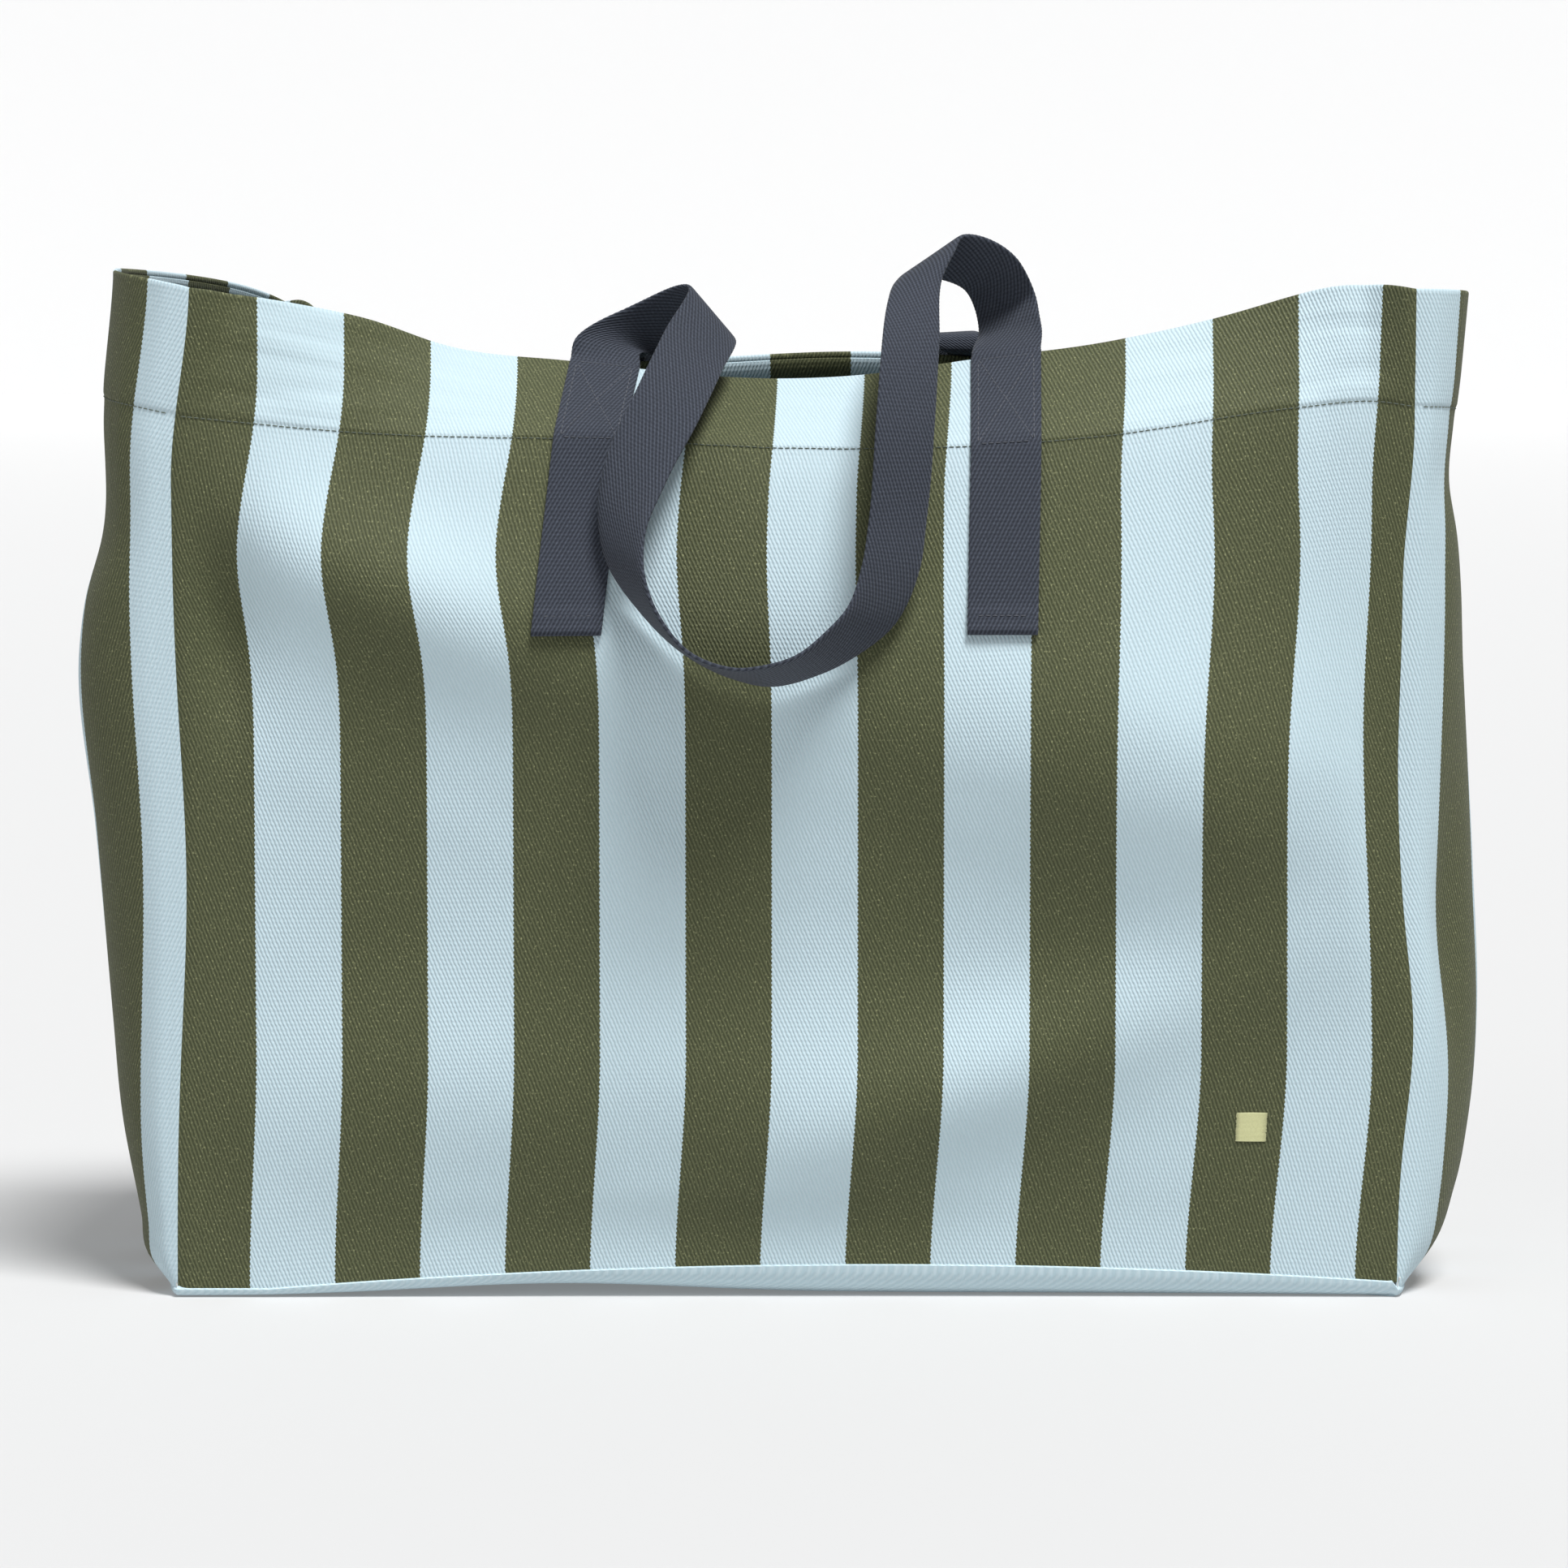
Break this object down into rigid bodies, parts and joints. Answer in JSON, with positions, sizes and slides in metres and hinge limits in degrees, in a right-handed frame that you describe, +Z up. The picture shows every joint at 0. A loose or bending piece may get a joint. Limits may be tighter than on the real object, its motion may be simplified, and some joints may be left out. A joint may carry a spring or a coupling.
{
  "type": "laundry bag",
  "caption": "Large open-topped striped cloth bag with a box base, a deep stitched mouth hem and webbing handles that lift from hanging.",
  "frame": {"origin": "centre of the base, on the floor", "axes": "+Z up, front faces -Y, +X to the right along the front"},
  "size_m": [0.6996, 0.3626, 0.5183],
  "materials": {
    "striped_twill": "woven cotton twill in olive and pale blue stripes",
    "plain_twill": "woven cotton twill, plain pale blue",
    "overlock": "fuzzy white overlock thread",
    "hem_thread": "sewing thread, grey green",
    "webbing": "twill cotton webbing, dark navy",
    "webbing_thread": "sewing thread, navy",
    "embroidery": "satin stitch, pale yellow"
  },
  "bodies": {
    "bag": {"front_panel": "striped_twill", "back_panel": "striped_twill", "left_end_panel": "striped_twill", "right_end_panel": "striped_twill", "base_panel": "plain_twill", "hem_turn_in": "striped_twill", "hem_overlock": "overlock", "hem_topstitch": "hem_thread", "front_left_seam": "overlock", "front_right_seam": "overlock", "back_left_seam": "overlock", "back_right_seam": "overlock", "base_seam": "overlock", "front_left_tab": "webbing", "front_right_tab": "webbing", "back_left_tab": "webbing", "back_right_tab": "webbing", "front_left_tab_stitching": "webbing_thread", "front_right_tab_stitching": "webbing_thread", "back_left_tab_stitching": "webbing_thread", "back_right_tab_stitching": "webbing_thread", "embroidered_square": "embroidery"},
    "front_handle": {"front_handle_loop": "webbing"},
    "back_handle": {"back_handle_loop": "webbing"}
  },
  "joints": [
    {"name": "front_handle_lift", "type": "hinge", "parent": "bag", "child": "front_handle", "pos_m": [0, -0.07, 0.5015], "axis": [-0.9819, 0, -0.1894], "range_deg": [0, 145]},
    {"name": "back_handle_lift", "type": "hinge", "parent": "bag", "child": "back_handle", "pos_m": [0, 0.07, 0.476], "axis": [1, 0, 0], "range_deg": [0, 145]}
  ]
}
